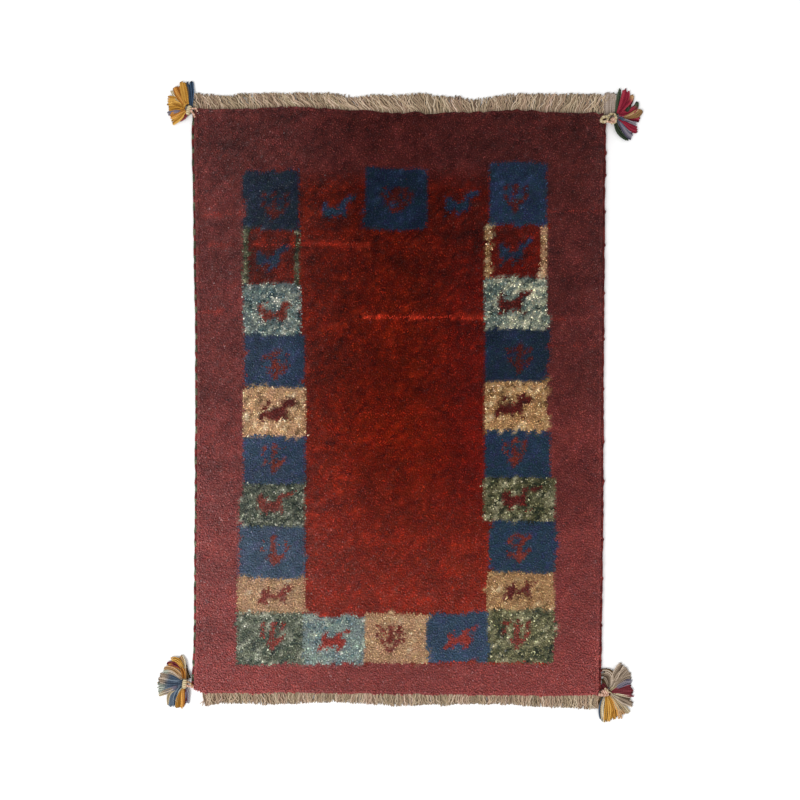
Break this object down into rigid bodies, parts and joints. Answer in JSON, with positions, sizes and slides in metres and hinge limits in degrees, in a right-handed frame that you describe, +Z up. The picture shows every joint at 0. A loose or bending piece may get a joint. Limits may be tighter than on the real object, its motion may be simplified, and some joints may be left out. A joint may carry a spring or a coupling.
{
  "type": "gabbeh rug",
  "caption": "Small hand-knotted gabbeh rug lying flat, with thick wool pile, wrapped side cords, a short warp fringe at both ends and a yarn tassel at each corner.",
  "frame": {"origin": "middle of the outline, tassels included, on the floor under the rug", "axes": "+X across the rug to its right side, +Y along it to the end with the longer fringe, +Z up out of the pile"},
  "size_m": [0.714, 0.948, 0.0131],
  "materials": {
    "pile_wool": "hand-spun wool pile, matt",
    "cord_wool": "overcast wool, matt",
    "warp_yarn": "undyed twisted warp yarn, matt",
    "tassel_yarn": "dyed wool yarn, matt"
  },
  "bodies": {
    "root": {"knotted_body": "pile_wool", "left_side_cord": "cord_wool", "right_side_cord": "cord_wool", "top_fringe": "warp_yarn", "bottom_fringe": "warp_yarn", "top_left_tassel": "tassel_yarn", "top_right_tassel": "tassel_yarn", "bottom_left_tassel": "tassel_yarn", "bottom_right_tassel": "tassel_yarn"}
  },
  "joints": []
}
